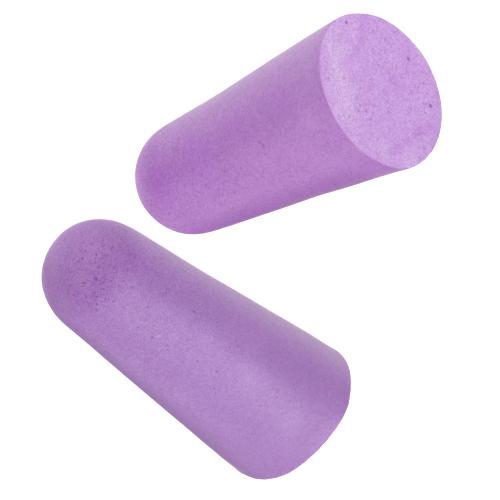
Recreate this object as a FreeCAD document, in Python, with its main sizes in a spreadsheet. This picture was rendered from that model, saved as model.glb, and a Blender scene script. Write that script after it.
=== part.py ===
# Pair of foam ear plugs, lying at rest side by side on a flat surface.
#
# Each plug is one piece of slow-recovery foam: a body of revolution with a
# straight tapered side, a ball-shaped nose that runs tangent into the side, and
# a flat end where it was cut off. The cut is a few degrees out of square.
#
# A plug's own frame: local X is its axis, 0 where the axis meets the cut end,
# +length at the tip of the nose. Local Z is the way the cut end leans.
#
# Row frame: millimetres, +Z up. Z = 0 is the surface the plugs lie on. X = Y = 0
# is the middle of the pair's footprint. Each plug touches the surface along one
# straight line of its tapered side, so its axis dips towards the nose by half
# the angle of the taper.

import FreeCAD, Part
import Sketcher
import math
import os

PARTS_DIR = "parts"
os.makedirs(PARTS_DIR, exist_ok=True)

doc = FreeCAD.newDocument("foam_ear_plugs")

# ---------------------------------------------------------------- dimensions
sheet = doc.addObject("Spreadsheet::Sheet", "Dimensions")

CELLS = [
    # alias, value, meaning
    ("plug_length", 25.0, "axis, cut end to tip of nose, mm"),
    ("trim_allowance", 2.0, "stock beyond the nominal cut end, taken off by the cut, mm"),
    ("trim_half", 9.0, "half height of the cut's profile, mm"),
    # plug a: further from the front edge, nose towards +X -Y
    ("base_radius_a", 5.98, "radius where the axis meets the cut end, mm"),
    ("nose_radius_a", 4.38, "radius of the ball nose, mm"),
    ("cut_lean_a", 0.102, "lean of the cut end, mm along the axis per mm across"),
    ("heading_a", -45.69, "direction of the nose about Z, degrees from +X"),
    ("clocking_a", -94.15, "turn of the plug about its own axis, degrees"),
    ("base_x_a", -4.036, "centre of the cut end, mm"),
    ("base_y_a", 22.579, "centre of the cut end, mm"),
    # plug b: nearer the front edge, nose towards +X +Y
    ("base_radius_b", 5.84, "radius where the axis meets the cut end, mm"),
    ("nose_radius_b", 4.21, "radius of the ball nose, mm"),
    ("cut_lean_b", 0.072, "lean of the cut end, mm along the axis per mm across"),
    ("heading_b", 49.01, "direction of the nose about Z, degrees from +X"),
    ("clocking_b", -167.18, "turn of the plug about its own axis, degrees"),
    ("base_x_b", -10.363, "centre of the cut end, mm"),
    ("base_y_b", -22.399, "centre of the cut end, mm"),
]
sheet.set("A1", "name")
sheet.set("B1", "value")
sheet.set("C1", "meaning")
for row, (alias, value, meaning) in enumerate(CELLS, start=2):
    sheet.set("A%d" % row, alias)
    sheet.set("B%d" % row, repr(value))
    sheet.setAlias("B%d" % row, alias)
    sheet.set("C%d" % row, meaning)
doc.recompute()


def dim(alias):
    """The value of one cell of the sheet."""
    return float(sheet.get(alias))


def plane_of(body, role):
    """One of the body's own origin planes."""
    for feature in body.Origin.OriginFeatures:
        if feature.Role == role:
            return feature
    raise RuntimeError("no origin plane " + role)


def taper_angle(base_radius, nose_radius, length):
    """Half angle of the taper, in radians: the side line passes through
    (0, base_radius) and touches the nose's circle, centred on the axis."""
    c = length - nose_radius
    return math.acos(nose_radius / math.hypot(base_radius, c)) - math.atan2(c, base_radius)


def ear_plug(letter):
    """One plug: a revolved profile, then the leaning cut across its thick end."""
    name = "ear_plug_" + letter
    length = dim("plug_length")
    allowance = dim("trim_allowance")
    base_r = dim("base_radius_" + letter)
    nose_r = dim("nose_radius_" + letter)
    lean = dim("cut_lean_" + letter)
    trim = dim("trim_half")
    angle = taper_angle(base_r, nose_r, length)
    slope = math.tan(angle)
    centre = length - nose_r

    body = doc.addObject("PartDesign::Body", name)
    body.Label = name

    # ---- profile, in the plane of local X (along) and local Z (out)
    profile = body.newObject("Sketcher::SketchObject", "profile_" + letter)
    profile.AttachmentSupport = [(plane_of(body, "XZ_Plane"), "")]
    profile.MapMode = "FlatFace"
    end_r = base_r + slope * allowance
    touch = FreeCAD.Vector(centre + nose_r * math.sin(angle), nose_r * math.cos(angle), 0)
    stock_low = FreeCAD.Vector(-allowance, 0, 0)
    stock_high = FreeCAD.Vector(-allowance, end_r, 0)
    tip = FreeCAD.Vector(length, 0, 0)
    nose_circle = Part.Circle(FreeCAD.Vector(centre, 0, 0), FreeCAD.Vector(0, 0, 1), nose_r)

    end_line = profile.addGeometry(Part.LineSegment(stock_low, stock_high), False)
    side_line = profile.addGeometry(Part.LineSegment(stock_high, touch), False)
    nose_arc = profile.addGeometry(
        Part.ArcOfCircle(nose_circle, 0.0, math.pi / 2 - angle), False
    )
    axis_line = profile.addGeometry(Part.LineSegment(tip, stock_low), False)
    gauge = profile.addGeometry(
        Part.LineSegment(FreeCAD.Vector(0, 0, 0), FreeCAD.Vector(0, base_r, 0)), True
    )
    add = profile.addConstraint
    add(Sketcher.Constraint("Coincident", end_line, 2, side_line, 1))
    add(Sketcher.Constraint("Tangent", side_line, 2, nose_arc, 2))
    add(Sketcher.Constraint("Coincident", nose_arc, 1, axis_line, 1))
    add(Sketcher.Constraint("Coincident", axis_line, 2, end_line, 1))
    add(Sketcher.Constraint("PointOnObject", nose_arc, 3, -1))
    add(Sketcher.Constraint("PointOnObject", axis_line, 1, -1))
    add(Sketcher.Constraint("PointOnObject", axis_line, 2, -1))
    add(Sketcher.Constraint("Vertical", end_line))
    add(Sketcher.Constraint("Coincident", gauge, 1, -1, 1))
    add(Sketcher.Constraint("Vertical", gauge))
    add(Sketcher.Constraint("PointOnObject", gauge, 2, side_line))
    c_length = add(Sketcher.Constraint("DistanceX", -1, 1, axis_line, 1, length))
    c_stock = add(Sketcher.Constraint("DistanceX", end_line, 1, -1, 1, allowance))
    c_base = add(Sketcher.Constraint("DistanceY", gauge, 1, gauge, 2, base_r))
    c_nose = add(Sketcher.Constraint("Radius", nose_arc, nose_r))
    profile.setExpression("Constraints[%d]" % c_length, "Dimensions.plug_length")
    profile.setExpression("Constraints[%d]" % c_stock, "Dimensions.trim_allowance")
    profile.setExpression("Constraints[%d]" % c_base, "Dimensions.base_radius_" + letter)
    profile.setExpression("Constraints[%d]" % c_nose, "Dimensions.nose_radius_" + letter)
    doc.recompute()

    turned = body.newObject("PartDesign::Revolution", "moulding_" + letter)
    turned.Profile = profile
    turned.ReferenceAxis = (profile, ["H_Axis"])
    turned.Angle = 360.0
    profile.Visibility = False
    body.Tip = turned
    doc.recompute()
    stock_volume = turned.Shape.Volume

    # ---- cut across the thick end, leaning towards local +Z
    cut_sketch = body.newObject("Sketcher::SketchObject", "cut_line_" + letter)
    cut_sketch.AttachmentSupport = [(plane_of(body, "XZ_Plane"), "")]
    cut_sketch.MapMode = "FlatFace"
    back = -3.0 * allowance
    top = FreeCAD.Vector(lean * trim, trim, 0)
    low = FreeCAD.Vector(-lean * trim, -trim, 0)
    far_low = FreeCAD.Vector(back, -trim, 0)
    far_top = FreeCAD.Vector(back, trim, 0)
    cut_line = cut_sketch.addGeometry(Part.LineSegment(low, top), False)
    top_line = cut_sketch.addGeometry(Part.LineSegment(top, far_top), False)
    far_line = cut_sketch.addGeometry(Part.LineSegment(far_top, far_low), False)
    low_line = cut_sketch.addGeometry(Part.LineSegment(far_low, low), False)
    add = cut_sketch.addConstraint
    add(Sketcher.Constraint("Coincident", cut_line, 2, top_line, 1))
    add(Sketcher.Constraint("Coincident", top_line, 2, far_line, 1))
    add(Sketcher.Constraint("Coincident", far_line, 2, low_line, 1))
    add(Sketcher.Constraint("Coincident", low_line, 2, cut_line, 1))
    add(Sketcher.Constraint("Horizontal", top_line))
    add(Sketcher.Constraint("Vertical", far_line))
    add(Sketcher.Constraint("Horizontal", low_line))
    add(Sketcher.Constraint("Symmetric", cut_line, 1, cut_line, 2, -1, 1))
    c_high = add(Sketcher.Constraint("DistanceY", -1, 1, cut_line, 2, trim))
    c_lean = add(Sketcher.Constraint("DistanceX", -1, 1, cut_line, 2, lean * trim))
    c_back = add(Sketcher.Constraint("DistanceX", far_line, 1, -1, 1, -back))
    cut_sketch.setExpression("Constraints[%d]" % c_high, "Dimensions.trim_half")
    cut_sketch.setExpression(
        "Constraints[%d]" % c_lean, "Dimensions.trim_half * Dimensions.cut_lean_" + letter
    )
    cut_sketch.setExpression("Constraints[%d]" % c_back, "3 * Dimensions.trim_allowance")
    doc.recompute()

    cut = body.newObject("PartDesign::Pocket", "cut_end_" + letter)
    cut.Profile = cut_sketch
    cut.Type = "ThroughAll"
    cut.Midplane = True
    cut_sketch.Visibility = False
    body.Tip = cut
    doc.recompute()

    # the cut takes off a disc of stock, which is pi r^2 by the allowance, nearly
    taken = stock_volume - cut.Shape.Volume
    disc = math.pi * (base_r + slope * allowance / 2) ** 2 * allowance
    if abs(taken - disc) > 0.03 * disc:
        raise RuntimeError("%s: the cut took %.2f mm3, expected %.2f" % (name, taken, disc))

    # ---- where it lies: on one line of its side, dipping towards the nose
    dip = "(acos(Dimensions.nose_radius_{0} / sqrt(Dimensions.base_radius_{0}^2 + (Dimensions.plug_length - Dimensions.nose_radius_{0})^2)) - atan2(Dimensions.plug_length - Dimensions.nose_radius_{0}; Dimensions.base_radius_{0}))".format(
        letter
    )
    body.setExpression(
        "Placement",
        "create(<<placement>>; create(<<vector>>; Dimensions.base_x_{0} * 1 mm; Dimensions.base_y_{0} * 1 mm; Dimensions.base_radius_{0} * cos({1}) * 1 mm); create(<<rotation>>; Dimensions.heading_{0} * 1 deg; {1}; Dimensions.clocking_{0} * 1 deg))".format(
            letter, dip
        ),
    )
    doc.recompute()
    expected = FreeCAD.Placement(
        FreeCAD.Vector(dim("base_x_" + letter), dim("base_y_" + letter), base_r * math.cos(angle)),
        FreeCAD.Rotation(dim("heading_" + letter), math.degrees(angle), dim("clocking_" + letter)),
    )
    if not body.Placement.isSame(expected, 1e-6):
        raise RuntimeError("%s: placement %s, expected %s" % (name, body.Placement, expected))
    return body


plug_a = ear_plug("a")
plug_b = ear_plug("b")
doc.recompute()

# ---------------------------------------------------------------- checks
for obj in doc.Objects:
    bad = [s for s in obj.State if s in ("Invalid", "Error")]
    if bad:
        raise RuntimeError("%s is in state %s" % (obj.Name, obj.State))

whole = FreeCAD.BoundBox()
for body in (plug_a, plug_b):
    shape = body.Shape
    if shape.isNull() or not shape.isValid() or len(shape.Solids) != 1:
        raise RuntimeError("%s has no single valid solid" % body.Label)
    box = shape.optimalBoundingBox(False)
    whole.add(box)
    print(
        "%s volume %.2f mm3, box %.3f %.3f %.3f to %.3f %.3f %.3f"
        % (body.Label, shape.Volume, box.XMin, box.YMin, box.ZMin, box.XMax, box.YMax, box.ZMax)
    )
    if abs(box.ZMin) > 1e-3:
        raise RuntimeError("%s doesn't lie on Z = 0" % body.Label)
print(
    "pair: size %.3f x %.3f x %.3f, middle %.4f, %.4f"
    % (whole.XLength, whole.YLength, whole.ZLength, whole.Center.x, whole.Center.y)
)
print("gap between the plugs: %.3f mm" % plug_a.Shape.distToShape(plug_b.Shape)[0])
if abs(whole.Center.x) > 0.02 or abs(whole.Center.y) > 0.02:
    raise RuntimeError("the pair isn't centred on the origin")

# ---------------------------------------------------------------- the pieces
for body in (plug_a, plug_b):
    body.Shape.exportStep(os.path.join(PARTS_DIR, body.Label + ".step"))
    print("wrote", body.Label)
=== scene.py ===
# A pair of light purple foam ear plugs lying loose on a pale surface.
# Metres, row frame: +Z up, Z = 0 is the surface, origin at the middle of the pair.
import math

import bpy
import numpy as np
from mathutils import Matrix, Vector


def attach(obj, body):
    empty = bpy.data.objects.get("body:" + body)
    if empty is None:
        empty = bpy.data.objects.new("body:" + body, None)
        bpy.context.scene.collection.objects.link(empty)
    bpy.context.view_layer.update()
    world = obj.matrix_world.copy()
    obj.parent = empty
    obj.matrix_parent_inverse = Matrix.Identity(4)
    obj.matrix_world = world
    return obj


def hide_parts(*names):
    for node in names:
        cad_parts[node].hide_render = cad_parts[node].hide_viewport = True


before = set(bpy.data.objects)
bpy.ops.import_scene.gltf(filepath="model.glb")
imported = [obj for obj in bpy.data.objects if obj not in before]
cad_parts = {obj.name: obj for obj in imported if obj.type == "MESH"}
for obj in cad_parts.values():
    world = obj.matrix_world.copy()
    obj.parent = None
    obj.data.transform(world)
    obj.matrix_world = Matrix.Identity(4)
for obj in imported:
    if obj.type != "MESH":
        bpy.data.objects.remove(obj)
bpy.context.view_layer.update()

MM = 0.001

# ------------------------------------------------------------------ numbers
LENGTH = 25.0
PLUGS = {
    "a": dict(
        body="plug_a", node="ear_plug_a", seed=11,
        base_r=5.98, nose_r=4.38, lean=0.102,
        heading=-45.69, clocking=-94.15, base=(-4.036, 22.579),
    ),
    "b": dict(
        body="plug_b", node="ear_plug_b", seed=29,
        base_r=5.84, nose_r=4.21, lean=0.072,
        heading=49.01, clocking=-167.18, base=(-10.363, -22.399),
    ),
}
AROUND = 352          # vertices round a plug, a multiple of 8
ROWS = 225            # rows from the rim to the edge of the nose cap
CAP = AROUND // 4     # cells along each side of the two end grids
RIM = 0.05            # radius of the cut end's rim, mm
RIM_ROWS = 5
CAP_ANGLE = math.radians(56)
EASE = 0.8            # over about this length, mm, the side bends into the nose

# What sets each plug apart, in its own millimetres: x runs from the cut end along the axis.
# pores: place, radius, how dark, a painted shade inside the pit.  crowd: place, radius, strength, where the small pores
# crowd together.
# the tone rows: two ends of a streak, radius, and how much paler (or, below 0, deeper) it is in red, green and blue.
# Some rows are streaks and blotches of the foam itself; others are painted light: pale rows along the outlines and at
# the nose are a painted sheen of the pale floor, a pale row on the rim is a painted highlight, and deeper rows along
# the outlines are painted shade.
# swell: place, radius, height of a place where the foam stands a little proud of a true cone.
# belly, flank and back: how much paler or deeper the side it lies on is, that and the front, and the back. These are
# painted light: the side it lies on and the front, mostly paler, are a painted sheen of the pale floor; the back,
# deeper, is painted shade.
# fine: how strong the grain of the skin is towards the cut end and towards the nose.
MARKS = {
    "a": dict(
        pores=[
            (22.98, -2.44, -2.77, 0.12, 0.8), (22.23, -3.37, -2.29, 0.11, 0.7), (16.58, -3.81, -2.76, 0.13, 0.65),
            (24.26, -1.14, -2.16, 0.10, 0.7), (10.64, -3.62, -3.68, 0.10, 0.7), (23.45, -2.74, -1.93, 0.12, 0.6),
            (14.84, -1.03, -4.73, 0.11, 0.7), (20.43, -1.98, -3.94, 0.10, 0.6), (21.46, -1.06, -4.16, 0.10, 0.6),
            (23.29, -1.65, -3.06, 0.11, 0.6), (23.36, -2.60, -2.23, 0.08, 0.6), (15.20, -3.77, -2.98, 0.11, 0.55),
            (22.17, -3.81, -1.50, 0.08, 0.6), (24.13, 0.14, -2.61, 0.11, 0.5), (12.41, -3.69, -3.41, 0.10, 0.55),
            (22.50, -2.51, -3.06, 0.10, 0.35), (22.52, -3.19, -2.32, 0.13, 0.5), (21.03, -3.27, -2.88, 0.11, 0.5),
            (5.46, -2.64, -4.89, 0.10, 0.5),
        ],
        crowd=[(22.99, -2.52, -2.69, 2.1, 1.0), (22.31, -0.28, -4.03, 1.7, 0.7), (15.5, -3.9, -2.8, 1.6, 0.25)],
        tone_and_painted_light=[
            ((21.9, -3.3, -2.6), (21.7, -3.4, -2.6), 1.2, (-0.11, -0.24, -0.05)),
            ((23.6, -2.9, -1.4), (23.0, -3.3, -1.7), 1.3, (-0.09, -0.23, -0.11)),
            ((23.5, 0.0, -1.5), (23.5, 0.0, -1.5), 3.5, (0.01, -0.05, 0.01)),
            ((22.7, 1.1, -3.7), (21.4, 0.1, -4.3), 1.1, (-0.06, -0.21, -0.07)),
            ((21.4, 0.1, -4.3), (19.0, -0.4, -4.5), 1, (-0.03, -0.09, 0.00)),
            ((24.2, -0.2, -2.5), (24.0, -0.6, -2.8), 1.3, (0.13, 0.08, 0.06)),
            ((24.7, -0.6, 1.5), (23.7, -2.6, 1.7), 0.9, (-0.11, -0.30, -0.13)),
            ((23.5, 2.3, -2.3), (21.7, 2.6, -3.4), 0.8, (-0.06, -0.12, -0.12)),
            ((17.1, -2.1, -4.2), (13.0, -2.2, -4.5), 1, (0.04, 0.08, 0.07)),
            ((13.0, -2.2, -4.5), (8.1, -2.8, -4.6), 1.2, (0.08, 0.13, 0.08)),
            ((8.1, -2.8, -4.6), (3.1, -3.4, -4.6), 1.3, (0.07, 0.17, 0.07)),
            ((16.9, -4.7, 0.5), (11.0, -5.1, -0.6), 1.1, (0.04, 0.08, 0.04)),
            ((11.0, -5.1, -0.6), (5.7, -5.4, -1.0), 1.1, (0.06, 0.12, 0.06)),
            ((15.6, -3.9, -2.7), (6.4, -4.6, -3.0), 0.9, (0.00, 0.00, 0.04)),
            ((7.0, -0.2, -5.5), (1.7, 0.0, -5.9), 1.1, (-0.03, -0.05, -0.02)),
            ((2.7, -5.7, -0.7), (2.9, -4.4, -3.7), 1.3, (0.02, 0.06, 0.03)),
            ((-0.3, -0.5, -6.0), (0.1, 1.1, -5.9), 0.7, (-0.03, -0.09, -0.02)),
            ((-0.5, -2.6, -5.4), (-0.3, -4.2, -4.2), 0.7, (0.09, 0.16, 0.09)),
            ((0.4, -5.1, 3.1), (1.4, -4.8, 3.3), 1.1, (0.18, 0.26, 0.13)),
            ((0.2, 4.8, -3.6), (0.2, 4.8, -3.6), 1.1, (-0.10, -0.14, -0.10)),
            ((22.4, -2.8, 2.9), (19.9, -3.7, 2.5), 0.8, (0.10, 0.13, 0.08)),
            ((24.2, -1.0, 2.4), (23.6, -1.6, 2.8), 0.7, (-0.09, -0.16, -0.12)),
            ((23.0, -3.6, 0.2), (23.0, -3.6, 0.2), 0.9, (-0.06, -0.06, -0.07)),
            ((11.2, -0.5, -5.1), (8.8, -0.2, -5.3), 0.9, (0.05, 0.04, 0.05)),
            ((21.6, -4.2, 0.9), (20.4, -4.2, 1.3), 1.2, (-0.04, -0.10, -0.03)),
            ((23.3, -1.3, -3.2), (22.9, -2.1, -3.1), 0.8, (-0.05, -0.06, -0.05)),
            ((20.9, -0.4, -4.4), (20.5, -1.1, -4.3), 0.8, (0.03, 0.05, 0.03)),
            ((16.46, -3.76, -2.84), (16.27, -3.52, -3.15), 0.10, (0.20, 0.32, 0.16)),
        ],
        swell=[
            (-0.4, -1.1, -5.9, 1.5, 0.12), (0.0, -5.8, -1.4, 1.5, 0.10), (13.0, -4.5, 2.1, 3.5, 0.05),
            (24.4, 2.1, -0.8, 1.5, 0.05), (2.9, 3.9, -4.2, 2.0, 0.04), (13.5, 3.7, -3.2, 3.0, -0.045),
            (-0.4, -4.2, -4.3, 1.6, -0.055), (22.7, -2.9, 2.5, 1.3, -0.05), (24.3, -1.1, 2.1, 1.0, 0.035),
            (19.5, 3.4, -2.9, 2.0, 0.03), (0.9, -5.0, 3.1, 1.5, -0.045),
            (0.6, -5.1, 3.1, 0.8, -0.05), (0.2, -5.9, 1.2, 0.9, 0.032), (2.2, -4.9, 3.1, 0.9, 0.03),
            (-0.2, -5.6, -2.3, 0.9, -0.02),
        ],
        belly_painted_sheen=(0.02, 0.25, -0.10), flank_painted_light=(-0.005, -0.045, 0.012), back=(-0.05, -0.05, -0.05), back_painted_shade_at=(188.0, 222.0),
        fine=(0.50, 0.84),
    ),
    "b": dict(
        pores=[
            (0.15, -4.31, 2.04, 0.16, 1.0), (0.20, 4.52, 2.75, 0.15, 1.0), (0.30, -1.30, 4.15, 0.14, 0.9),
            (-0.19, 0.55, -2.64, 0.13, 0.65), (-0.12, -4.98, -1.63, 0.13, 0.65), (0.14, -3.94, 1.92, 0.10, 0.7),
            (-0.22, 1.20, -3.09, 0.15, 0.6), (0.08, -4.10, 1.17, 0.10, 0.7), (-0.19, 4.38, -2.65, 0.12, 0.5),
            (0.23, -3.16, 3.25, 0.12, 0.55), (0.16, -1.26, 2.24, 0.10, 0.6), (0.29, 1.03, 4.06, 0.11, 0.6),
            (0.19, -3.67, 2.69, 0.10, 0.55), (-0.19, -4.93, -2.65, 0.14, 0.4), (0.28, 2.21, 3.95, 0.12, 0.6),
            (0.12, -3.70, 1.72, 0.13, 0.5), (-0.09, -1.16, -1.20, 0.11, 0.5), (-0.12, 3.23, -1.67, 0.13, 0.4),
            (0.14, -2.40, 1.91, 0.11, 0.65), (-0.32, 2.22, -4.44, 0.13, 0.4), (-0.09, 1.64, -1.31, 0.11, 0.45),
            (-0.21, 0.03, -2.98, 0.14, 0.35), (15.42, 1.67, -4.33, 0.12, 0.7), (12.80, 2.10, -4.37, 0.10, 0.5),
            (7.36, -1.95, -4.89, 0.11, 0.5), (15.90, 2.89, -3.58, 0.13, 0.45), (20.75, 0.70, -4.17, 0.10, 0.5),
        ],
        crowd=[
            (0.28, 1.5, 3.9, 1.3, 0.8), (0.12, -3.7, 2.2, 1.3, 0.8), (-0.2, 0.4, -2.9, 1.2, 0.5),
            (16.5, 2.2, -4.0, 2.4, 0.28), (22.0, -0.5, -4.0, 1.6, 0.25),
        ],
        tone_and_painted_light=[
            ((20.6, 3.9, -1.7), (20.2, 3.2, -2.9), 1.3, (-0.08, -0.27, -0.03)),
            ((15.5, 3.9, -2.4), (14.0, 3.9, -2.7), 1.1, (-0.02, -0.17, 0.04)),
            ((11.2, 4.2, -2.7), (9.4, 4.3, -2.8), 1, (-0.02, -0.16, 0.02)),
            ((6.7, 4.7, -2.5), (4.3, 4.8, -2.7), 1, (-0.03, -0.13, 0.01)),
            ((16.1, 2.2, -4.0), (13.7, 2.2, -4.2), 1.2, (0.01, -0.06, 0.05)),
            ((2.2, 3.5, -4.5), (2.0, 3.4, -4.6), 1.1, (0.12, 0.23, 0.10)),
            # painted sheen: the nose paler where the pale floor's reflection lies along its outline
            ((22.7, 2.6, -2.7), (21.8, -1.0, -4.0), 0.8, (0.08, 0.08, 0.06)),
            ((24.6, 0.6, -1.0), (24.6, 0.6, -1.0), 3.0, (0.18, 0.30, 0.11)),
            ((8.8, 1.9, -4.8), (4.6, 1.6, -5.2), 1.6, (0.06, 0.08, 0.04)),
            ((4.4, 3.0, -4.6), (2.9, 0.0, -5.6), 1.2, (0.02, 0.07, 0.02)),
            ((17.3, 4.0, -2.1), (19.8, 2.0, -3.8), 1.6, (-0.02, -0.14, 0.01)),
            ((-0.2, 3.9, -4.3), (-0.3, 2.6, -5.2), 1, (0.06, 0.12, 0.05)),
            ((0.0, 4.7, -0.2), (-0.1, 4.2, -0.9), 0.9, (0.11, 0.26, 0.06)),
            ((-0.2, 3.1, -2.3), (-0.2, 2.3, -3.4), 1.1, (0.09, 0.25, 0.04)),
            ((0.2, 3.8, 2.5), (0.2, 3.5, 3.4), 0.8, (0.06, 0.13, 0.04)),
            ((-0.3, -1.8, -4.0), (-0.3, -2.1, -4.6), 0.7, (0.04, 0.11, 0.01)),
            ((0.31, 3.34, 4.27), (0.24, 3.12, 3.36), 0.35, (-0.06, -0.20, -0.03)),
            ((0.24, 3.12, 3.36), (0.18, 2.90, 2.46), 0.30, (-0.04, -0.11, -0.02)),
            ((0.18, 2.90, 2.46), (0.09, 2.98, 1.30), 0.30, (-0.03, -0.10, -0.01)),
            ((0.09, 2.98, 1.30), (0.02, 3.20, 0.22), 0.30, (-0.03, -0.10, -0.01)),
            ((0.1, -0.6, 1.4), (0.1, -1.2, 1.5), 0.8, (-0.05, -0.15, -0.02)),
            ((0.3, -1.4, 3.8), (0.3, -1.8, 3.8), 0.6, (-0.02, -0.09, -0.01)),
            ((0.03, -4.90, 0.36), (-0.06, -4.08, -0.81), 0.35, (-0.07, -0.18, -0.04)),
            ((-0.06, -4.08, -0.81), (-0.16, -3.38, -2.28), 0.32, (-0.05, -0.13, -0.03)),
            ((-0.16, -3.38, -2.28), (-0.24, -2.75, -3.39), 0.32, (-0.05, -0.13, -0.03)),
            ((-0.24, -2.75, -3.39), (-0.30, -2.44, -4.23), 0.32, (-0.05, -0.13, -0.03)),
            ((-0.3, 1.3, -4.4), (-0.3, 0.6, -4.7), 0.9, (0.02, 0.05, 0.00)),
            ((0.0, 3.8, 0.6), (0.0, 3.2, 0.3), 0.7, (0.05, 0.15, 0.03)),
            ((0.3, -4.5, 3.7), (0.2, -5.2, 2.3), 0.5, (-0.04, -0.08, -0.03)),
            ((-0.2, -4.3, -2.4), (-0.3, -4.0, -3.6), 0.7, (0.02, 0.08, 0.00)),
            ((0.0, 5.6, -0.7), (-0.1, 5.6, -0.7), 0.35, (0.00, -0.05, -0.02)),
            ((-0.1, 5.2, -1.8), (-0.2, 4.8, -2.7), 0.35, (-0.02, -0.06, -0.02)),
            ((-0.3, 3.9, -4.1), (-0.3, 3.4, -4.4), 0.4, (-0.07, -0.18, -0.05)),
            # painted highlight: a pale streak on the crest of the rim where it catches the light
            ((0.6, -4.15, -3.95), (1.8, -4.1, -4.0), 0.9, (0.14, 0.16, 0.12)),
            ((1.0, -2.5, -5.2), (1.8, -2.0, -5.3), 0.8, (0.05, 0.05, 0.06)),
            ((23.3, 0.9, -3.3), (22.7, -0.9, -3.6), 0.8, (0.16, 0.27, 0.10)),
            ((22.6, -1.6, -3.4), (21.6, -2.1, -3.6), 0.8, (0.05, 0.09, 0.02)),
            ((14.4, -3.5, -3.2), (4.0, -4.1, -3.6), 0.7, (-0.05, -0.07, -0.06)),
            ((0.2, 5.1, 2.6), (0.0, 5.8, 0.2), 0.7, (0.04, 0.14, 0.01)),
            ((0.1, -5.8, 0.8), (0.0, -5.7, -0.4), 0.6, (-0.06, -0.10, -0.06)),
            ((-0.3, -3.8, -4.5), (-0.2, -4.9, -3.3), 0.5, (0.06, 0.12, 0.04)),
            ((-0.4, 0.4, -5.8), (-0.4, 0.4, -5.8), 0.6, (0.03, 0.08, 0.02)),
            ((-0.4, 1.9, -5.5), (-0.4, 1.9, -5.5), 0.5, (-0.03, -0.09, -0.02)),
            ((0.4, -2.1, 5.3), (0.4, -2.1, 5.3), 0.6, (0.03, 0.10, 0.01)),
            ((0.02, 3.20, 0.22), (-0.07, 3.78, -0.96), 0.35, (-0.04, -0.14, -0.02)),
            ((-0.2, 4.2, -3.1), (-0.3, 3.6, -3.7), 0.5, (0.03, 0.06, 0.02)),
        ],
        swell=[
            (0.2, -4.9, 2.7, 2.0, 0.09), (0.9, 5.6, 1.4, 1.8, 0.09), (-0.3, -3.6, -4.6, 1.0, 0.13),
            (18.6, -3.0, -3.2, 3.0, 0.05), (14.0, 4.5, 1.4, 2.5, -0.04), (4.0, 5.2, 1.9, 2.5, 0.07),
            (0.3, 3.6, 4.5, 1.8, -0.07), (0.3, -2.6, 5.2, 1.5, 0.06), (0.0, -5.8, 0.5, 1.6, -0.05),
            (1.0, -4.3, -3.9, 1.8, 0.04), (9.8, -3.7, -3.6, 2.2, -0.06), (16.3, 4.4, 1.4, 2.2, -0.035),
            (8.2, 4.9, 1.8, 1.8, 0.025), (22.8, 0.0, -3.6, 1.5, -0.035), (21.5, 4.1, -0.2, 1.4, 0.03),
            (0.2, -5.2, 2.5, 0.9, -0.02), (0.1, -5.7, 0.9, 0.8, 0.02), (-0.2, -5.4, -2.1, 1.0, -0.035),
            (0.3, -4.4, -3.8, 0.8, 0.017),
        ],
        belly_painted_sheen=(0.05, 0.26, 0.01), flank_painted_light=(0.03, 0.22, 0.015), back=(-0.19, -0.27, -0.17), back_painted_shade_at=(170.0, 218.0),
        fine=(0.62, 0.86),
    ),
}
CREASE = ((8.02, 3.05, -4.22), (7.80, 2.93, -4.34), (7.70, 2.78, -4.44), (7.83, 2.62, -4.54))


# ------------------------------------------------------------------ noise
def _hash(ix, iy, iz, seed):
    h = (
        ix.astype(np.uint32) * np.uint32(374761393)
        ^ iy.astype(np.uint32) * np.uint32(668265263)
        ^ iz.astype(np.uint32) * np.uint32(2147483647)
        ^ np.uint32((seed * 2246822519) & 0xFFFFFFFF)
    )
    h ^= h >> np.uint32(15)
    h *= np.uint32(2246822519)
    h ^= h >> np.uint32(13)
    h *= np.uint32(3266489917)
    h ^= h >> np.uint32(16)
    return h


def _unit(h, k):
    h = h * np.uint32(2654435761) + np.uint32((k * 40503 + 977) & 0xFFFFFFFF)
    h ^= h >> np.uint32(16)
    h *= np.uint32(2246822519)
    h ^= h >> np.uint32(13)
    return h.astype(np.float64) / 4294967295.0


def noise3(p, size, seed):
    """Gradient noise, about -1 to 1, with features about size across."""
    q = p / size + 1000.0
    i = np.floor(q).astype(np.int64)
    f = q - i
    w = f * f * f * (f * (f * 6 - 15) + 10)
    out = np.zeros(len(p))
    for dx in (0, 1):
        for dy in (0, 1):
            for dz in (0, 1):
                h = _hash(i[:, 0] + dx, i[:, 1] + dy, i[:, 2] + dz, seed)
                z = _unit(h, 1) * 2 - 1
                a = _unit(h, 2) * 2 * math.pi
                r = np.sqrt(np.maximum(0, 1 - z * z))
                g = (
                    r * np.cos(a) * (f[:, 0] - dx)
                    + r * np.sin(a) * (f[:, 1] - dy)
                    + z * (f[:, 2] - dz)
                )
                out += (
                    g
                    * (w[:, 0] if dx else 1 - w[:, 0])
                    * (w[:, 1] if dy else 1 - w[:, 1])
                    * (w[:, 2] if dz else 1 - w[:, 2])
                )
    return out * 1.6


def cells3(p, size, seed):
    """Distance to the nearest and the second nearest cell centre, over size, and a number 0 to 1 for the nearest."""
    q = p / size + 1000.0
    i = np.floor(q).astype(np.int64)
    f = q - i
    d1 = np.full(len(p), 9.0)
    d2 = np.full(len(p), 9.0)
    who = np.zeros(len(p))
    for dx in (-1, 0, 1):
        for dy in (-1, 0, 1):
            for dz in (-1, 0, 1):
                h = _hash(i[:, 0] + dx, i[:, 1] + dy, i[:, 2] + dz, seed)
                d = np.sqrt(
                    (dx + _unit(h, 1) - f[:, 0]) ** 2
                    + (dy + _unit(h, 2) - f[:, 1]) ** 2
                    + (dz + _unit(h, 3) - f[:, 2]) ** 2
                )
                near = d < d1
                d2 = np.where(near, d1, np.minimum(d2, d))
                who = np.where(near, _unit(h, 4), who)
                d1 = np.where(near, d, d1)
    return d1, d2, who


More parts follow.
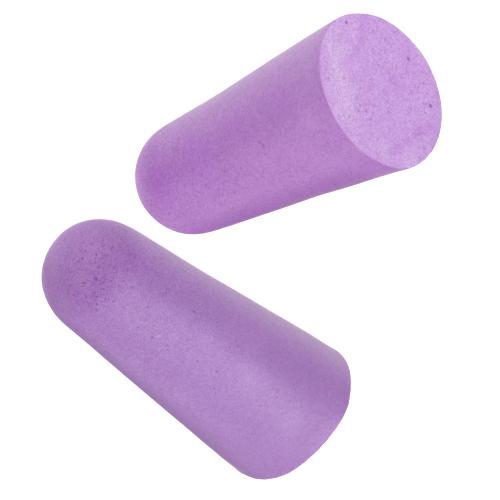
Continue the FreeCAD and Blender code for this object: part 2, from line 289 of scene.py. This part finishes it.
# ------------------------------------------------------------------ one plug
def dip_angle(p):
    c = LENGTH - p["nose_r"]
    return math.acos(p["nose_r"] / math.hypot(p["base_r"], c)) - math.atan2(c, p["base_r"])


def place(p):
    """Local to row frame, in mm: a 3x3 and an offset."""
    al = dip_angle(p)
    m = (
        Matrix.Rotation(math.radians(p["heading"]), 3, "Z")
        @ Matrix.Rotation(al, 3, "Y")
        @ Matrix.Rotation(math.radians(p["clocking"]), 3, "X")
    )
    return np.array(m), np.array([p["base"][0], p["base"][1], p["base_r"] * math.cos(al)])


def profile(p):
    """Side and nose as one curve, by distance from the tip: x, radius and slope angle, with the bend eased in."""
    al = dip_angle(p)
    c = LENGTH - p["nose_r"]
    touch = c + p["nose_r"] * math.sin(al)
    step = 0.004
    erf = np.vectorize(math.erf)

    def curve(nose_r, shift):
        s = np.arange(-4.0, 8.0, step)
        t = (s - shift) / EASE
        bend = EASE * (t * 0.5 * (1 + erf(t / math.sqrt(2))) + np.exp(-t * t / 2) / math.sqrt(2 * math.pi))
        th = al + bend / nose_r
        end = int(np.argmax(th >= math.pi / 2))
        s, th = s[: end + 1], th[: end + 1]
        # from a point on the cone, 4 mm before the nose would start
        mid = (th[1:] + th[:-1]) / 2
        x = touch - 4.0 * math.cos(al) + np.concatenate([[0], np.cumsum(np.cos(mid)) * step])
        r = p["base_r"] - math.tan(al) * (touch - 4.0 * math.cos(al)) - np.concatenate([[0], np.cumsum(np.sin(mid)) * step])
        return s, x, r, th

    # the nose radius and the start of the bend that bring it to the tip at full length, square to the axis
    v = np.array([p["nose_r"], 0.0])
    for _ in range(8):
        def miss(v):
            s, x, r, th = curve(v[0], v[1])
            return np.array([x[-1] - LENGTH, r[-1]])
        m0 = miss(v)
        jac = np.stack([(miss(v + d) - miss(v - d)) / 0.1 for d in (np.array([0.05, 0]), np.array([0, 0.05]))], 1)
        v = v - np.linalg.solve(jac, m0)
    s, x, r, th = curve(v[0], v[1])
    r[-1] = 0.0
    # the rest of the cone, back past the rim
    back = np.array([-30.0])
    s = np.concatenate([s[0] + back, s])
    x = np.concatenate([x[:1] + back * math.cos(al), x])
    r = np.concatenate([r[:1] - back * math.sin(al), r])
    th = np.concatenate([th[:1], th])
    q = (s[-1] - s)[::-1]
    print("nose radius", round(float(v[0]), 3), "bend shifted", round(float(v[1]), 3), "tip", round(float(x[-1]), 3), round(float(r[-2]), 4))
    return q, x[::-1], r[::-1], th[::-1]


def disc_map(n):
    """A square grid of n cells a side laid on the unit disc: radius, angle, and the place on the ring of each edge vertex."""
    t = np.linspace(-1, 1, n + 1)
    a, b = np.meshgrid(t, t, indexing="ij")
    wide = np.abs(a) >= np.abs(b)
    safe_a = np.where(a == 0, 1, a)
    safe_b = np.where(b == 0, 1, b)
    r = np.where(wide, a, b)
    ang = np.where(wide, math.pi / 4 * b / safe_a, math.pi / 2 - math.pi / 4 * a / safe_b)
    ang = np.where((a == 0) & (b == 0), 0, ang)
    ang = np.where(r < 0, ang + math.pi, ang)
    r = np.abs(r)
    return r, np.mod(ang, 2 * math.pi)


def plug_mesh(p):
    """Local points in mm, outward normals, quads, and for each vertex: distance along, 1 on the cut end, 0 on the side."""
    al = dip_angle(p)
    slope = math.tan(al)
    R, Rn, g = p["base_r"], p["nose_r"], p["lean"]
    phi = np.arange(AROUND) * 2 * math.pi / AROUND
    cs, sn = np.cos(phi), np.sin(phi)

    # true rim: x = g z on the cone
    x = np.zeros(AROUND)
    for _ in range(12):
        x = g * (R - slope * x) * sn
    r = R - slope * x
    rim = np.stack([x, r * cs, r * sn], 1)
    n_side = np.stack([np.full(AROUND, math.sin(al)), math.cos(al) * cs, math.cos(al) * sn], 1)
    n_cut = np.array([-1, 0, g]) / math.hypot(1, g)
    core = rim - RIM * n_side - RIM * n_cut

    points, normals, cut = [], [], []
    # rows up the side, from just above the rim to the edge of the nose cap
    start = core + RIM * n_side
    pq, px, pr, pt = profile(p)
    q_start = np.interp(-start[:, 0], -px, pq)
    q_cap = Rn * CAP_ANGLE
    for k in range(ROWS + 1):
        t = k / ROWS
        q = q_start * (1 - t) + q_cap * t
        xx, rr, th = np.interp(q, pq, px), np.interp(q, pq, pr), np.interp(q, pq, pt)
        pts = np.stack([xx, rr * cs, rr * sn], 1)
        nn = np.stack([np.sin(th), np.cos(th) * cs, np.cos(th) * sn], 1)
        points.append(pts)
        normals.append(nn)
        cut.append(np.zeros(AROUND))
    ring_quads = []
    for k in range(ROWS):
        a0 = k * AROUND + np.arange(AROUND)
        a1 = k * AROUND + (np.arange(AROUND) + 1) % AROUND
        ring_quads.append(np.stack([a0, a1, a1 + AROUND, a0 + AROUND], 1))
    side_count = (ROWS + 1) * AROUND
    # the rim, from the side round to the cut end
    rim_first = side_count
    for k in range(1, RIM_ROWS + 1):
        u = math.pi / 2 * k / RIM_ROWS
        nn = math.cos(u) * n_side + math.sin(u) * n_cut
        nn = nn / np.linalg.norm(nn, axis=1, keepdims=True)
        points.append(core + RIM * nn)
        normals.append(nn)
        cut.append(np.full(AROUND, k / RIM_ROWS))
    for k in range(RIM_ROWS):
        low = 0 if k == 0 else rim_first + (k - 1) * AROUND
        high = rim_first + k * AROUND
        i0 = np.arange(AROUND)
        i1 = (i0 + 1) % AROUND
        ring_quads.append(np.stack([high + i0, high + i1, low + i1, low + i0], 1))
    total_count = side_count + RIM_ROWS * AROUND

    def cap(ring_start, at, flip):
        nonlocal total_count
        rad, ang = disc_map(CAP)
        index = np.zeros((CAP + 1, CAP + 1), np.int64)
        edge = np.isclose(rad, 1.0)
        step = np.rint(ang / (2 * math.pi) * AROUND).astype(np.int64) % AROUND
        index[edge] = ring_start + step[edge]
        inner = ~edge
        count = int(inner.sum())
        index[inner] = total_count + np.arange(count)
        total_count += count
        pts, nn = at(rad[inner], ang[inner])
        points.append(pts)
        normals.append(nn)
        cut.append(np.full(count, 1.0 if flip else 0.0))
        q = np.stack([index[:-1, :-1], index[1:, :-1], index[1:, 1:], index[:-1, 1:]], -1).reshape(-1, 4)
        ring_quads.append(q[:, ::-1] if flip else q)

    def nose_at(rad, ang):
        q = q_cap * rad
        xx, rr, th = np.interp(q, pq, px), np.interp(q, pq, pr), np.interp(q, pq, pt)
        pts = np.stack([xx, rr * np.cos(ang), rr * np.sin(ang)], 1)
        return pts, np.stack([np.sin(th), np.cos(th) * np.cos(ang), np.cos(th) * np.sin(ang)], 1)

    def cut_at(rad, ang):
        edge_pts = core + RIM * n_cut
        # the ring's own outline at each angle, scaled towards the axis
        k = ang / (2 * math.pi) * AROUND
        i0 = np.floor(k).astype(int) % AROUND
        i1 = (i0 + 1) % AROUND
        f = (k - np.floor(k))[:, None]
        out = edge_pts[i0] * (1 - f) + edge_pts[i1] * f
        pts = out * rad[:, None]
        pts[:, 0] = g * pts[:, 2]
        return pts, np.broadcast_to(n_cut, pts.shape)

    cap(ROWS * AROUND, nose_at, False)
    cap(rim_first + (RIM_ROWS - 1) * AROUND, cut_at, True)
    return np.concatenate(points), np.concatenate(normals), np.concatenate(ring_quads), np.concatenate(cut)


def smooth(lo, hi, v):
    t = np.clip((v - lo) / (hi - lo), 0, 1)
    return t * t * (3 - 2 * t)


def blobs(P, rows):
    """Sum over the rows (place, radius, strength) of strength times a soft round bump."""
    out = np.zeros(len(P))
    for x, y, z, r, k in rows:
        d2 = (P[:, 0] - x) ** 2 + (P[:, 1] - y) ** 2 + (P[:, 2] - z) ** 2
        out += k * np.exp(-d2 / (r * r))
    return out


def from_line(P, a, b):
    """Distance from the line between a and b."""
    a, b = np.array(a), np.array(b)
    ab = b - a
    t = np.clip(((P - a) @ ab) / max(1e-9, ab @ ab), 0, 1)
    return np.linalg.norm(P - a - t[:, None] * ab, axis=1)


def pits(P, rows):
    """The deepest of the pits at the rows (place, radius, depth), each centred on its nearest point."""
    out = np.zeros(len(P))
    for x, y, z, r, k in rows:
        d2 = (P[:, 0] - x) ** 2 + (P[:, 1] - y) ** 2 + (P[:, 2] - z) ** 2
        c = P[np.argmin(d2)]
        d2 = ((P - c) ** 2).sum(1)
        out = np.maximum(out, k * np.exp(-d2 / max(r, 0.11) ** 2))
    return out


def build_plug(letter):
    p = PLUGS[letter]
    P, N, quads, cut = plug_mesh(p)
    seed = p["seed"]
    rng = np.random.default_rng(seed)
    side = 1 - cut

    marks = MARKS[letter]
    flat = P.copy()
    # how near the rim: 1 on it, nothing 0.2 mm away
    al = dip_angle(p)
    out_r = np.hypot(P[:, 1], P[:, 2])
    skin_x = P[:, 0] - p["lean"] * P[:, 2]
    from_rim = np.hypot(skin_x, p["base_r"] - math.tan(al) * P[:, 0] - out_r)
    edge = np.exp(-((from_rim / 0.10) ** 2))

    # --- shape: foam is never quite true
    wave = 0.004 + 0.016 * noise3(P, 7.0, seed) + 0.010 * noise3(P, 2.6, seed + 1)
    # the nose is a little fuller at its shoulder than round
    wave = wave + 0.050 * np.exp(-(((P[:, 0] - 22.4) / 2.2) ** 2)) * side
    grain = 0.007 * noise3(P, 0.75, seed + 2) + 0.006 * noise3(P, 0.34, seed + 3)
    # the rim is a little ragged where the blade left it
    ragged = edge * (0.020 * noise3(P, 0.9, seed + 6) + 0.018 * noise3(P, 0.36, seed + 7))
    # on the cut end the cells are open: small cups with thin walls between
    c1, c2, who = cells3(P, 0.32, seed + 4)
    cups = -0.028 * smooth(0.62, 0.10, c1) * (0.35 + 0.65 * who)
    # pores: where a cell broke through the skin
    s1, s2, lot = cells3(P, 1.15, seed + 5)
    pore = np.where(lot > 0.80, np.exp(-((s1 / 0.09) ** 2)) * (0.2 + 2.0 * (lot - 0.80)), 0.0)
    pore *= np.clip(1.6 * noise3(P, 6.0, seed + 13), 0, 1)
    listed = pits(P, marks["pores"])
    crease = np.zeros(len(P))
    if letter == "b":
        for a, b in zip(CREASE, CREASE[1:]):
            crease = np.maximum(crease, np.exp(-((from_line(P, a, b) / 0.08) ** 2)))
    disp = wave + grain * (side + 1.4 * cut) + ragged + cups * cut * (1 - edge) - 0.06 * np.maximum(pore, listed) - 0.04 * crease
    P = P + N * disp[:, None]
    # where it stands proud, straight out from the axis on the cut end so that its rim moves with the side
    out = np.stack([np.zeros(len(P)), flat[:, 1], flat[:, 2]], 1) / p["base_r"]
    out = np.where(cut[:, None] > 0.5, out * (out_r / p["base_r"])[:, None] ** 2, N)
    P = P + out * blobs(flat, marks["swell"])[:, None]

    # --- finish, painted sheen and painted shade that change from place to place
    drift = 0.020 * noise3(flat, 4.5, seed + 8) + 0.020 * noise3(flat, 1.6, seed + 9)
    tone_and_painted_light = drift[:, None] * np.array([0.5, 1.0, 0.4])
    # the rows add tone: streaks and blotches of the foam, and painted sheen, painted highlight and painted shade along
    # the outlines and the rim
    for a, b, r, k in marks["tone_and_painted_light"]:
        tone_and_painted_light += np.exp(-((from_line(flat, a, b) / r) ** 2))[:, None] * np.array(k)
    # the angle round the plug from the line it lies on, towards the front
    c = math.radians(p["clocking"])
    turn = np.mod(np.degrees(math.atan2(-math.cos(c), -math.sin(c)) - np.arctan2(flat[:, 2], flat[:, 1])), 360)
    along = (smooth(0.0, 1.2, skin_x) * smooth(23.5, 15.5, flat[:, 0]) * side)[:, None]
    # painted light round the plug: the side it lies on and the front are paler as a painted sheen of the pale floor,
    # and the back is deeper as painted shade
    belly_painted_sheen = smooth(86.0, 54.0, np.minimum(turn, 360 - turn))[:, None]
    flank_painted_light = np.where(turn < 180, smooth(122.0, 58.0, turn), smooth(320.0, 360.0, turn))[:, None]
    back = (smooth(*marks["back_painted_shade_at"], turn) * smooth(312.0, 285.0, turn))[:, None]
    back = back * (smooth(1.0, 6.0, skin_x) * (1 - 0.6 * smooth(222.0, 262.0, turn)))[:, None]
    tone_and_painted_light += along * (belly_painted_sheen * np.array(marks["belly_painted_sheen"]) + flank_painted_light * np.array(marks["flank_painted_light"]) + back * np.array(marks["back"]))
    # the blade left faint streaks across the cut end
    lie, across = flat[:, 1] * -0.765 + flat[:, 2] * 0.644, flat[:, 1] * 0.644 + flat[:, 2] * 0.765
    streak = noise3(np.stack([lie / 4.5, across, flat[:, 0] * 0.0], 1), 0.36, seed + 14)
    tone_and_painted_light += (cut * streak)[:, None] * np.array([0.020, 0.055, 0.014])
    tone_and_painted_light = np.clip(np.exp(tone_and_painted_light) / TINT, 0, 1)
    crowd = np.clip(0.16 + 0.22 * noise3(flat, 2.2, seed + 10) + blobs(flat, marks["crowd"]), 0, 1)
    near, far = marks["fine"]
    fine = np.where(cut > 0.5, 0.70, near + (far - near) * smooth(5.0, 21.0, P[:, 0]))
    fine = np.clip(fine * (1 + 0.15 * noise3(flat, 3.0, seed + 12)) + 0.25 * (crowd - 0.16), 0, 1)

    M, off = place(p)
    # where the listed pores come to lie on the finished surface
    spots = []
    dents = []
    # the crease on b is darkened along its length too, a painted shade inside it
    if letter == "b":
        for a, b in zip(CREASE, CREASE[1:]):
            dents += [tuple(np.array(a) * (1 - t) + np.array(b) * t) + (0.10, 0.40) for t in (0.0, 0.5)]
    for x, y, z, r, k in marks["pores"] + dents:
        at = np.array([x, y, z])
        i = np.argmin(((flat - at) ** 2).sum(1))
        spots.append((((at + P[i] - flat[i]) @ M.T + off) * MM, r * MM, k))
    W = P @ M.T + off
    NW = N @ M.T
    # it rests on the surface: nothing goes below it
    W[:, 2] = np.maximum(W[:, 2], 0.0)

    mesh = bpy.data.meshes.new("foam_plug_" + letter)
    mesh.from_pydata((W * MM).tolist(), [], quads.tolist())
    mesh.update()
    for poly in mesh.polygons:
        poly.use_smooth = True
    for name, values in (
        ("cut", cut),
        # painted shade: how dark the pores and the crease are drawn, as shade inside them
        ("pore", np.maximum(np.maximum(pore, 0.25 * listed), 0.45 * crease)),
        ("edge", edge),
        ("crowd", crowd),
        ("fine", fine),
    ):
        att = mesh.attributes.new(name, "FLOAT", "POINT")
        att.data.foreach_set("value", values.astype(np.float32))
    att = mesh.attributes.new("tone_and_painted_light", "FLOAT_COLOR", "POINT")
    att.data.foreach_set("color", np.column_stack([tone_and_painted_light, np.ones(len(P))]).astype(np.float32).ravel())
    obj = bpy.data.objects.new("foam_plug_" + letter, mesh)
    bpy.context.scene.collection.objects.link(obj)
    print(obj.name, "vertices", len(W), "triangles", 2 * len(quads))
    return obj, spots


# ------------------------------------------------------------------ foam material
def foam_material(name, look, spots):
    mat = bpy.data.materials.new(name)
    mat.use_nodes = True
    nt = mat.node_tree
    nt.nodes.clear()
    N = nt.nodes.new
    L = nt.links.new
    out = N("ShaderNodeOutputMaterial")
    bsdf = N("ShaderNodeBsdfPrincipled")
    L(bsdf.outputs["BSDF"], out.inputs["Surface"])
    co = N("ShaderNodeTexCoord")

    def put(socket, v):
        if isinstance(v, (int, float)):
            socket.default_value = v
        elif isinstance(v, tuple):
            socket.default_value = (*v, 1.0)
        else:
            L(v, socket)

    def noise(mm, detail=2.0, rough=0.5):
        n = N("ShaderNodeTexNoise")
        n.inputs["Scale"].default_value = 1.0 / (mm * MM)
        n.inputs["Detail"].default_value = detail
        n.inputs["Roughness"].default_value = rough
        L(co.outputs["Object"], n.inputs["Vector"])
        return n.outputs["Fac"]

    def attr(name, kind="Fac"):
        n = N("ShaderNodeAttribute")
        n.attribute_name = name
        return n.outputs[kind]

    def remap(v, a, b, c=0.0, d=1.0, kind="LINEAR"):
        n = N("ShaderNodeMapRange")
        n.interpolation_type = kind
        put(n.inputs["Value"], v)
        put(n.inputs["From Min"], a)
        put(n.inputs["From Max"], b)
        put(n.inputs["To Min"], c)
        put(n.inputs["To Max"], d)
        return n.outputs["Result"]

    def math_(op, a, b=None):
        n = N("ShaderNodeMath")
        n.operation = op
        for i, v in enumerate((a, b)):
            if v is not None:
                put(n.inputs[i], v)
        return n.outputs[0]

    def mix(fac, a, b, kind="MIX"):
        n = N("ShaderNodeMix")
        n.data_type = "RGBA"
        n.blend_type = kind
        n.clamp_factor = True
        put(n.inputs[0], fac)
        put(n.inputs[6], a)
        put(n.inputs[7], b)
        return n.outputs[2]

    def dots(mm, small, large, share):
        """Round dots, one to a cell of about mm, of radius small to large in cells; share of the cells has one."""
        n = N("ShaderNodeTexVoronoi")
        n.feature = "F1"
        n.inputs["Scale"].default_value = 1.0 / (mm * MM)
        L(co.outputs["Object"], n.inputs["Vector"])
        rgb = N("ShaderNodeSeparateColor")
        L(n.outputs["Color"], rgb.inputs[0])
        radius = remap(rgb.outputs[1], 0.0, 1.0, small, large)
        inside = remap(math_("SUBTRACT", n.outputs["Distance"], radius), -0.10, 0.08, 1.0, 0.0, "SMOOTHSTEP")
        return math_("MULTIPLY", inside, math_("LESS_THAN", rgb.outputs[0], share))

    def spot(at, r, k):
        n = N("ShaderNodeVectorMath")
        n.operation = "DISTANCE"
        L(co.outputs["Object"], n.inputs[0])
        n.inputs[1].default_value = at
        return remap(n.outputs["Value"], 0.6 * r, 1.2 * r, k, 0.0, "SMOOTHSTEP")

    cut, pore, edge = attr("cut"), attr("pore"), attr("edge")
    for row in spots:
        pore = math_("MAXIMUM", pore, spot(*row))
    tone_and_painted_light, crowd, fine = attr("tone_and_painted_light", "Color"), attr("crowd"), attr("fine")
    grain = noise(0.13, 2.0, 0.6)
    mottle = noise(0.42, 2.0, 0.6)

    # the skin: a full purple, paler and deeper in places by the tone attribute, painted sheen and shade among that
    # tone, with pin-pricks of the cells under it darkened as painted shade inside them
    skin = mix(1.0, tone_and_painted_light, look["skin"], "MULTIPLY")
    skin = mix(1.0, skin, mix(remap(mottle, 0.34, 0.66), look["mottle"][0], look["mottle"][1]), "MULTIPLY")
    skin = mix(fine, skin, mix(1.0, skin, mix(remap(grain, 0.32, 0.68), (0.80, 0.71, 0.83), (1.20, 1.29, 1.17)), "MULTIPLY"))
    pricks = dots(0.21, 0.14, 0.34, 0.85)
    specks = dots(0.28, 0.13, 0.26, remap(crowd, 0.15, 0.7, 0.0, 0.9))
    holes = dots(0.40, 0.12, 0.22, remap(crowd, 0.0, 1.0, 0.04, 0.60))
    # painted shade: the dots below darken the skin as shade inside the cells and pits
    deep = mix(1.0, skin, PIT_SHADE, "MULTIPLY")
    skin = mix(math_("MULTIPLY", pricks, math_("MULTIPLY", fine, 0.30)), skin, deep)
    skin = mix(math_("MULTIPLY", specks, 0.80), skin, deep)
    skin = mix(math_("MULTIPLY", holes, remap(crowd, 0.1, 0.6, 0.35, 0.90)), skin, deep)

    # the cut end: paler, every cell open, the open cells darkened as painted shade inside them
    face = mix(1.0, tone_and_painted_light, look["cut"], "MULTIPLY")
    face = mix(1.0, face, mix(remap(mottle, 0.34, 0.66), (0.975, 0.950, 0.982), (1.025, 1.050, 1.018)), "MULTIPLY")
    face = mix(1.0, face, mix(remap(grain, 0.32, 0.68), (0.84, 0.72, 0.87), (1.16, 1.28, 1.13)), "MULTIPLY")
    open_cells = dots(0.20, 0.16, 0.38, 0.85)
    open_holes = dots(0.42, 0.10, 0.24, remap(crowd, 0.0, 1.0, 0.2, 0.95))
    # painted shade: the open cells and holes darken the cut end as shade inside them
    deep = mix(1.0, face, CUT_CELL_SHADE, "MULTIPLY")
    face = mix(math_("MULTIPLY", open_cells, 0.32), face, deep)
    face = mix(math_("MULTIPLY", open_holes, 0.65), face, deep)

    colour = mix(cut, skin, face)
    # painted highlight: a thin paler band along the rim's crest
    colour = mix(math_("MULTIPLY", edge, 0.18), colour, look["edge"])
    # painted shade inside the pores and the crease
    colour = mix(math_("MULTIPLY", pore, 0.85), colour, mix(1.0, colour, PORE_SHADE, "MULTIPLY"))
    L(colour, bsdf.inputs["Base Color"])

    deep = math_("MAXIMUM", math_("MAXIMUM", pricks, holes), pore)
    rough = remap(math_("MAXIMUM", deep, cut), 0.0, 1.0, SKIN_ROUGH, 0.75)
    L(rough, bsdf.inputs["Roughness"])

    bump = N("ShaderNodeBump")
    height = math_("SUBTRACT", math_("MULTIPLY", grain, 0.6), math_("ADD", math_("ADD", pricks, specks), math_("MULTIPLY", holes, 1.5)))
    L(height, bump.inputs["Height"])
    bump.inputs["Strength"].default_value = 0.35
    bump.inputs["Distance"].default_value = 0.02 * MM
    L(bump.outputs["Normal"], bsdf.inputs["Normal"])

    bsdf.inputs["IOR"].default_value = 1.45
    bsdf.inputs["Specular IOR Level"].default_value = 0.60
    bsdf.inputs["Subsurface Weight"].default_value = 0.1
    bsdf.inputs["Subsurface Radius"].default_value = (0.9, 0.6, 1.0)
    bsdf.inputs["Subsurface Scale"].default_value = 0.5 * MM
    bsdf.inputs["Sheen Weight"].default_value = 0.0
    bsdf.inputs["Sheen Roughness"].default_value = 0.5
    bsdf.inputs["Sheen Tint"].default_value = (0.95, 0.93, 0.95, 1.0)
    return mat


# painted shade: the colours the pits and open cells are darkened towards, as shade inside them
PIT_SHADE = (0.61, 0.45, 0.645)
CUT_CELL_SHADE = (0.62, 0.40, 0.70)
# painted shade: the colour the pores and the crease are darkened towards
PORE_SHADE = (0.55, 0.20, 0.62)
TINT = 1.5             # the tint attribute holds the tint over this, so that it stays under 1
SKIN_ROUGH = 0.45
# skin and cut end, both times TINT; the rim, paler than the skin: a painted highlight along its crest
LOOKS = {
    "a": dict(skin=(0.510, 0.254, 0.672), cut=(0.715, 0.463, 0.924), edge=(0.444, 0.279, 0.575),
              mottle=((0.960, 0.940, 0.965), (1.040, 1.060, 1.035))),
    "b": dict(skin=(0.601, 0.258, 0.753), cut=(0.847, 0.487, 1.047), edge=(0.565, 0.350, 0.690),
              mottle=((0.945, 0.915, 0.952), (1.055, 1.085, 1.048))),
}

for letter, p in PLUGS.items():
    plug, spots = build_plug(letter)
    plug.data.materials.append(foam_material("ear_plug_foam_" + letter, LOOKS[letter], spots))
    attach(plug, p["body"])
    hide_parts(p["node"])

# ------------------------------------------------------------------ floor and light
floor_mesh = bpy.data.meshes.new("floor")
S = 8.0
floor_mesh.from_pydata([(-S, -S, 0), (S, -S, 0), (S, S, 0), (-S, S, 0)], [], [(0, 1, 2, 3)])
floor = bpy.data.objects.new("floor", floor_mesh)
bpy.context.scene.collection.objects.link(floor)
floor.location = (0, 0, -0.00002)
fm = bpy.data.materials.new("floor")
fm.use_nodes = True
fb = fm.node_tree.nodes["Principled BSDF"]
fb.inputs["Base Color"].default_value = (0.30, 0.30, 0.30, 1)
fb.inputs["Roughness"].default_value = 0.9
fb.inputs["Specular IOR Level"].default_value = 0.0
fb.inputs["Emission Color"].default_value = (1, 1, 1, 1)
# It glows evenly.  Behind each plug, as the front sees them, the plugs mirror only part of it, as if a dark
# card stood there: so their upper edges are not washed out by the pale floor.
FLOOR_GLOW = 0.9
CARDS = {"a": 0.90, "b": 0.95}
fn, fl = fm.node_tree.nodes.new, fm.node_tree.links.new


def floor_math(op, a, b=None):
    n = fn("ShaderNodeMath")
    n.operation = op
    for i, v in enumerate((a, b)):
        if isinstance(v, (int, float)):
            n.inputs[i].default_value = v
        elif v is not None:
            fl(v, n.inputs[i])
    return n.outputs[0]


def floor_ramp(v, a, b):
    n = fn("ShaderNodeMapRange")
    n.interpolation_type = "SMOOTHSTEP"
    fl(v, n.inputs["Value"])
    n.inputs["From Min"].default_value = a
    n.inputs["From Max"].default_value = b
    return n.outputs["Result"]


f_co = fn("ShaderNodeTexCoord")
behind, along = {}, {}
for letter, p in PLUGS.items():
    h = math.radians(p["heading"])
    back = (-math.sin(h), math.cos(h), 0.0)
    dot = fn("ShaderNodeVectorMath")
    dot.operation = "DOT_PRODUCT"
    fl(f_co.outputs["Object"], dot.inputs[0])
    dot.inputs[1].default_value = back
    behind[letter] = floor_math("SUBTRACT", dot.outputs["Value"], (back[0] * p["base"][0] + back[1] * p["base"][1]) * MM)
    ahead = (math.cos(h), math.sin(h), 0.0)
    dot = fn("ShaderNodeVectorMath")
    dot.operation = "DOT_PRODUCT"
    fl(f_co.outputs["Object"], dot.inputs[0])
    dot.inputs[1].default_value = ahead
    along[letter] = floor_math("SUBTRACT", dot.outputs["Value"], (ahead[0] * p["base"][0] + ahead[1] * p["base"][1]) * MM)
card_a = floor_math("MULTIPLY", floor_ramp(behind["a"], 0.004, 0.009), CARDS["a"])
card_b = floor_math("MULTIPLY", floor_ramp(behind["b"], 0.004, 0.008), CARDS["b"])
card_b = floor_math("MULTIPLY", card_b, floor_math("SUBTRACT", 1.0, floor_ramp(behind["a"], -0.009, -0.005)))
card_a = floor_math("MULTIPLY", card_a, floor_math("SUBTRACT", 1.0, floor_ramp(along["a"], 0.013, 0.020)))
card_b = floor_math("MULTIPLY", card_b, floor_math("SUBTRACT", 1.0, floor_ramp(along["b"], 0.024, 0.030)))
f_path = fn("ShaderNodeLightPath")
f_dark = floor_math("MULTIPLY", floor_math("MAXIMUM", card_a, card_b), f_path.outputs["Is Glossy Ray"])
fl(floor_math("MULTIPLY", floor_math("SUBTRACT", 1.0, f_dark), FLOOR_GLOW), fb.inputs["Emission Strength"])
fm.cycles.emission_sampling = "NONE"
floor_mesh.materials.append(fm)

world = bpy.data.worlds.new("studio")
bpy.context.scene.world = world
world.use_nodes = True
wb = world.node_tree.nodes["Background"]
wb.inputs["Color"].default_value = (1, 1, 1, 1)
# dim overhead, pale down at the horizon where the floor ends
w_co = world.node_tree.nodes.new("ShaderNodeTexCoord")
w_sep = world.node_tree.nodes.new("ShaderNodeSeparateXYZ")
w_map = world.node_tree.nodes.new("ShaderNodeMapRange")
w_map.interpolation_type = "SMOOTHSTEP"
for name, value in (("From Min", 0.02), ("From Max", 0.06), ("To Min", 0.945), ("To Max", 0.10)):
    w_map.inputs[name].default_value = value
world.node_tree.links.new(w_co.outputs["Generated"], w_sep.inputs[0])
world.node_tree.links.new(w_sep.outputs["Z"], w_map.inputs["Value"])
# only the view sees the pale part: the plugs are lit as by the dim one all round
w_path = world.node_tree.nodes.new("ShaderNodeLightPath")
w_mix = world.node_tree.nodes.new("ShaderNodeMix")
world.node_tree.links.new(w_path.outputs["Is Camera Ray"], w_mix.inputs[0])
w_mix.inputs[2].default_value = 0.10
world.node_tree.links.new(w_map.outputs["Result"], w_mix.inputs[3])
world.node_tree.links.new(w_mix.outputs[0], wb.inputs["Strength"])

# A ring of soft panels: name, azimuth and elevation as seen from the plugs, distance, size, watts, colour
LIGHTS = [
    ("right_30", 20, 30, 0.6, 0.30, 0.34, (1, 1, 1)),
    ("right_back_30", 45, 30, 0.6, 0.30, 0.18, (1, 1, 1)),
    ("back_right_30", 70, 30, 0.6, 0.30, 0.27, (1, 1, 1)),
    ("left_front_30", 200, 30, 0.6, 0.30, 0.83, (1, 1, 1)),
    ("front_right_30", 315, 30, 0.6, 0.30, 0.96, (1, 1, 1)),
    ("back_55", 90, 55, 0.6, 0.30, 0.23, (1, 1, 1)),
    ("left_55", 180, 55, 0.6, 0.30, 0.59, (1, 1, 1)),
    ("left_front_55", 210, 55, 0.6, 0.30, 0.57, (1, 1, 1)),
    ("front_right_55", 300, 55, 0.6, 0.30, 0.36, (1, 1, 1)),
    ("back_80", 90, 80, 0.6, 0.30, 0.18, (1, 1, 1)),
    ("left_80", 180, 80, 0.6, 0.30, 0.61, (1, 1, 1)),
    ("front_80", 270, 80, 0.6, 0.30, 0.38, (1, 1, 1)),
]


def add_light(name, az, el, dist, size, power, colour):
    a, e = math.radians(az), math.radians(el)
    pos = Vector((math.cos(a) * math.cos(e), math.sin(a) * math.cos(e), math.sin(e))) * dist
    data = bpy.data.lights.new(name, "AREA")
    data.shape = "DISK"
    data.size = size
    data.energy = power
    data.color = colour
    ob = bpy.data.objects.new(name, data)
    bpy.context.scene.collection.objects.link(ob)
    ob.location = pos
    ob.rotation_mode = "QUATERNION"
    ob.rotation_quaternion = (-pos).to_track_quat("-Z", "Y")
    return ob


for row in LIGHTS:
    add_light(*row)

# ------------------------------------------------------------------ camera
cam_data = bpy.data.cameras.new("camera")
cam = bpy.data.objects.new("camera", cam_data)
bpy.context.scene.collection.objects.link(cam)
right = Vector((-0.99555357, 0.0, -0.09419707))
up = Vector((0.07950193, -0.53634979, -0.84024303))
back = Vector((-0.05052258, -0.8439958, 0.53396495))
m = Matrix((right, up, back)).transposed().to_4x4()
m.translation = Vector((-23.390, -372.579, 241.572)) * MM
cam.matrix_world = m
cam_data.sensor_width = 36.0
cam_data.lens = 432.0
cam_data.clip_start = 0.02
cam_data.clip_end = 40.0
bpy.context.scene.camera = cam
bpy.context.scene.view_settings.view_transform = "Standard"

bpy.context.view_layer.update()
